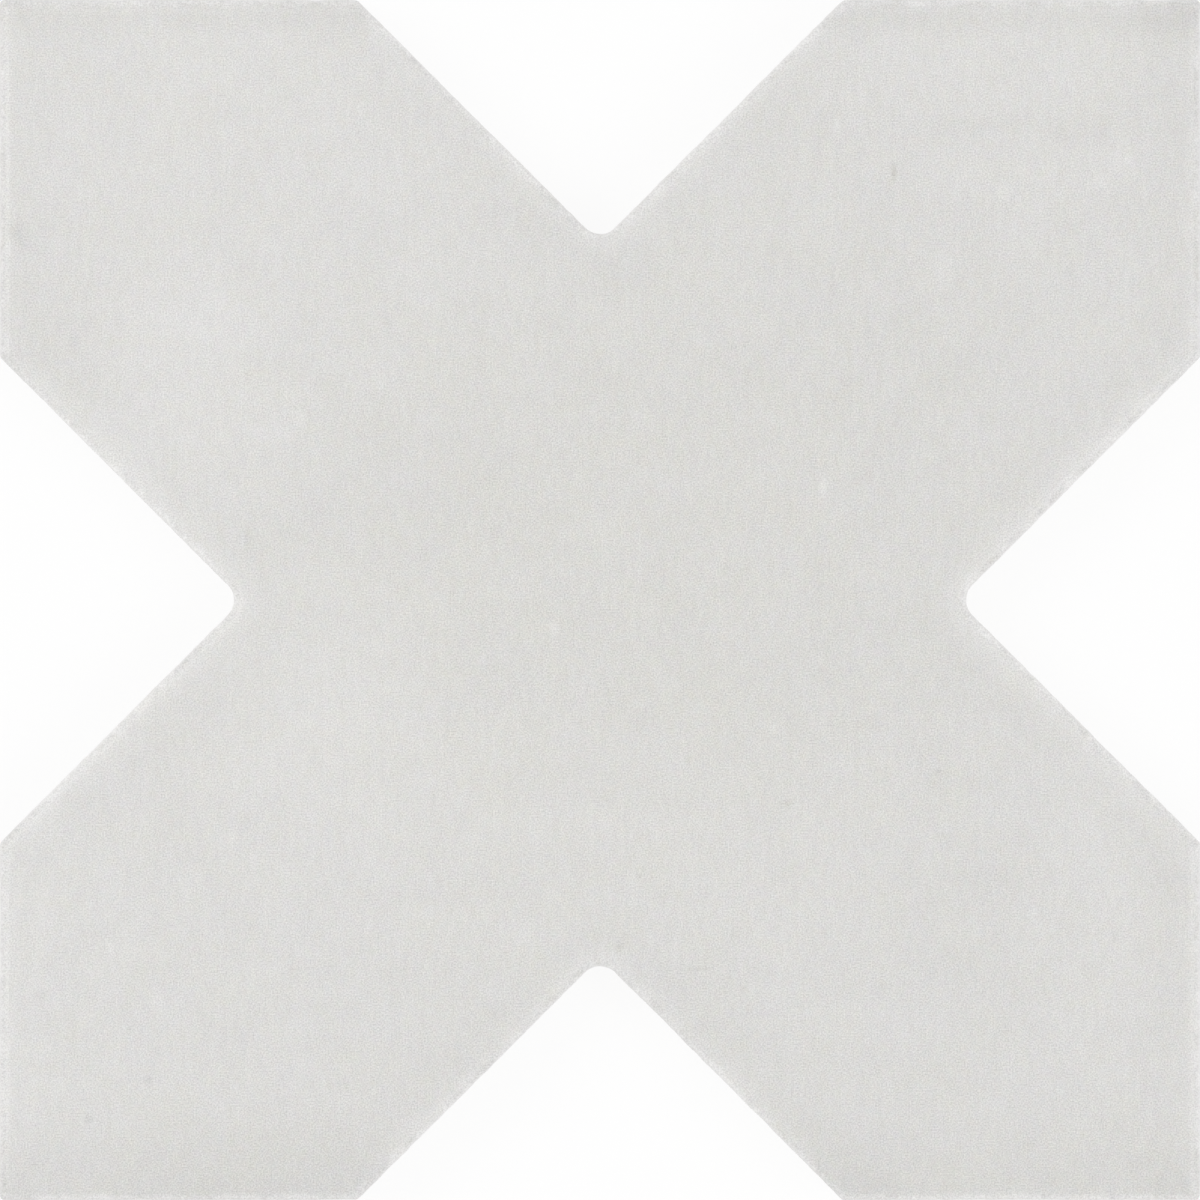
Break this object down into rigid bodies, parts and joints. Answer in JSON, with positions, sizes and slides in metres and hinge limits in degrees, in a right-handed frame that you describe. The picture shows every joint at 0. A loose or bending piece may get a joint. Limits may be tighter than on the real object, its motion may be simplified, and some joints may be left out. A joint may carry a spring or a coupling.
{
  "type": "cross-shaped tile",
  "caption": "Flat cross-shaped ceramic tile with pointed arms, vee notches that take the points of star tiles, a satin pale grey glaze and a ribbed back.",
  "frame": {"origin": "middle of the bed plane of the ribbed back", "axes": "+Z from the back up to the glazed face, +X and +Y out through the middles of two neighbouring notches"},
  "size_m": [0.12, 0.12, 0.009],
  "materials": {
    "glazed_porcelain": "satin glaze on the face, bare body on the back"
  },
  "bodies": {
    "root": {"cross_tile": "glazed_porcelain"}
  },
  "joints": []
}
